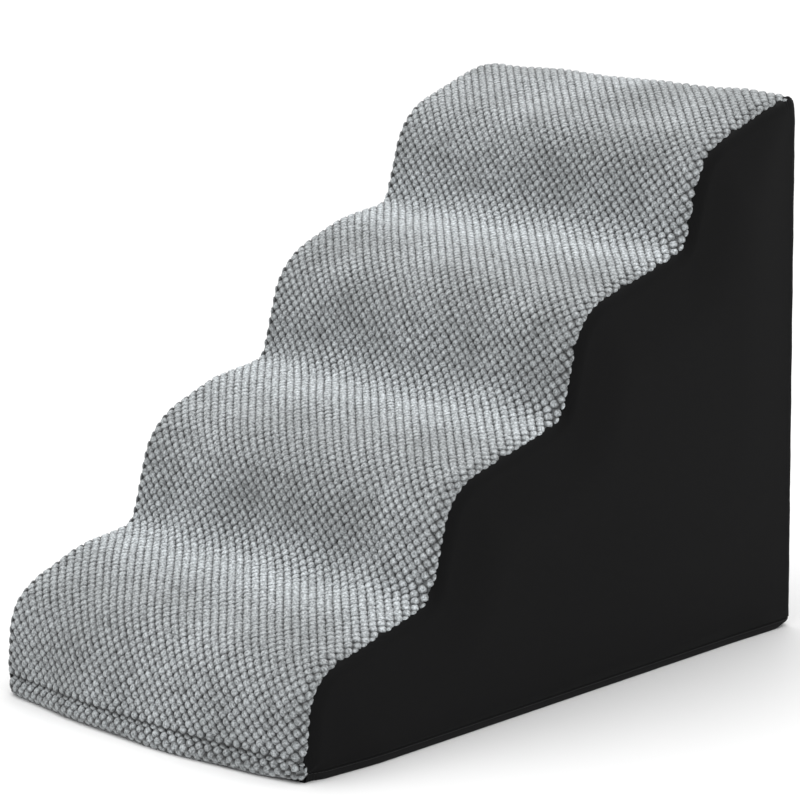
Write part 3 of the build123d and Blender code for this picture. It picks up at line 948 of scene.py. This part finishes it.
base_low, base_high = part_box("base_panel")
plan_front = front_y + 0.010
plan_rows = np.linspace(plan_front, rear_y - 0.006, 120)
plan_half = {side: np.interp(plan_rows, line[:, 1], line[:, 0]) - 0.004 for side, line in side_line.items()}
plan_cols = np.linspace(-1, 1, 65)
points = np.zeros((len(plan_rows), len(plan_cols), 3))
points[..., 0] = np.where(plan_cols > 0, plan_half[1][:, None], plan_half[-1][:, None]) * plan_cols
points[..., 1] = plan_rows[:, None]
near_side = 1 - smooth((1 - np.abs(plan_cols)) * half_width / corner_reach)
near_rear = 1 - smooth((plan_rows[-1] - plan_rows) / corner_reach)
points[..., 2] = base_low.z + corner_lift * near_rear[:, None] * near_side
points = settled(points)
base = sheet_mesh("base_cloth", points[:, ::-1], plan_rows - plan_front, plan_cols * 0.19)
base_cloth = cloth_finish("base_cloth", (0.012, 0.012, 0.013), (0.018, 0.018, 0.019), 260.0, 0.85)
thicken(base, base_high.z - base_low.z)
fit_in(base, base_cloth, replaces=["base_panel"])


def dress(node, material):
    """Puts a finish on a CAD node that keeps its own shape."""
    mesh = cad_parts[node].data
    mesh.materials.clear()
    mesh.materials.append(material)


rubber = plain_finish("grip_rubber", ((0.012, 0.012, 0.012), (0.022, 0.022, 0.022)), "Blotch",
                      (500.0, 20.0, 1.2), (0.0001, 0.3), Roughness=0.55)
dress("grip_dots", rubber)


# ---- Rear zipper ----
# A size 5 nylon zipper: woven tapes behind the slot, coils along their inner edges, end stops,
# and a lacquered die-cast slider with its pull.

def metal_finish():
    """Black lacquer on die-cast metal, worn a little brighter in places."""
    material, tree, shader = new_finish("zip_lacquer", Roughness=0.35, Metallic=0.6)
    wear = use_group(tree, fibre, Fibre_Scale=900.0, Blotch_Scale=120.0, Contrast=1.2)
    tree.links.new(colour_mix(tree, wear.outputs["Blotch"], (0.030, 0.030, 0.032), (0.060, 0.060, 0.062)),
                   shader.inputs["Base Color"])
    rough = socket_of(tree, "ShaderNodeMapRange", {
        "Value": wear.outputs["Fibre"], "To Min": 0.28, "To Max": 0.45})
    tree.links.new(rough, shader.inputs["Roughness"])
    bump(tree, shader, wear.outputs["Height"], 0.00005, 0.2)
    return material


zip_lacquer = metal_finish()
tape_cloth = cloth_finish("zip_tape", (0.012, 0.012, 0.013), (0.018, 0.018, 0.019), 500.0, 0.8)
nylon = cloth_finish("zip_nylon", (0.014, 0.014, 0.015), (0.022, 0.022, 0.023), 500.0, 0.4)
for node in ("zipper_slider", "zipper_pull", "zipper_bottom_stop", "zipper_top_stops"):
    dress(node, zip_lacquer)
for node in ("zipper_tape_upper", "zipper_tape_lower"):
    dress(node, tape_cloth)
coil_low, coil_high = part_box("zipper_coil_upper")
tooth_pitch = 0.0014
tooth_length = 0.00085
coil_half_turn = tooth_pitch / 2
coil_size = coil_high - coil_low
tooth = capsule("coil_tooth", length=tooth_length, width=coil_size.y, depth=coil_size.z, sides=8)
for way, node in enumerate(("zipper_coil_upper", "zipper_coil_lower")):
    coil_low, coil_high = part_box(node)
    middle = (coil_low + coil_high) / 2
    ends = [(coil_low.x + tooth_pitch + way * coil_half_turn, middle.y, middle.z),
            (coil_high.x - tooth_pitch + way * coil_half_turn, middle.y, middle.z)]
    coil = row_along(node.replace("zipper_coil", "coil_teeth"), ends, tooth, nylon, tooth_pitch, stray=0.0)
    fit_in(coil, nylon, replaces=[node])


# ---- Studio ----
# A plain white floor under soft overhead light, and the camera.

for spare in (nub, stitch, tooth):
    bpy.data.objects.remove(spare)

floor_mesh = bpy.data.meshes.new("floor")
reach = 30.0
floor_mesh.from_pydata([(-reach, -reach, 0), (reach, -reach, 0), (reach, reach, 0), (-reach, reach, 0)], [],
                       [(0, 1, 2, 3)])
floor = put("floor", floor_mesh)
floor_paint, _, floor_shader = new_finish("floor_paint", Roughness=0.6)
floor_shader.inputs["Base Color"].default_value = (0.77, 0.77, 0.77, 1.0)
floor_mesh.materials.append(floor_paint)

world = bpy.data.worlds.new("studio")
bpy.context.scene.world = world
world.use_nodes = True
sky_tree = world.node_tree
sky = sky_tree.nodes["Background"]
sky.inputs["Color"].default_value = (1.0, 1.0, 1.0, 1.0)
upward = shader_node(sky_tree, "ShaderNodeSeparateXYZ",
                     {0: sky_tree.nodes.new("ShaderNodeTexCoord").outputs["Generated"]}).outputs["Z"]
rise = socket_of(sky_tree, "ShaderNodeMapRange", {"Value": upward, "To Min": 0.55, "To Max": 1.75})
sky_tree.links.new(rise, sky.inputs["Strength"])


def softbox(name, place, aim, size, power):
    """A square area light at a place, turned to face a point."""
    light = bpy.data.lights.new(name, "AREA")
    light.size = size
    light.energy = power
    lamp = put(name, light)
    lamp.location = place
    way = np.array(aim) - np.array(place)
    flat = math.hypot(way[0], way[1])
    lamp.rotation_euler = (math.atan2(flat, -way[2]), 0, math.atan2(way[1], way[0]) - math.pi / 2)


softbox("overhead", (-0.4, 0.2, 3.2), (0, 0, 0.2), 2.6, 30.0)
softbox("front_fill", (-1.6, -2.6, 1.8), (0, 0, 0.25), 1.8, 6.0)

camera_data = bpy.data.cameras.new("camera")
camera_data.sensor_width = 36.0
camera_data.lens = 146.16
camera_data.clip_end = 60.0
camera = put("camera", camera_data)
camera.location = (2.0792, front_y - 1.8685, 0.9212)
camera.rotation_euler = (math.radians(90 - 12.273), 0, math.radians(43.168))
bpy.context.scene.camera = camera
bpy.context.scene.view_settings.view_transform = "Standard"
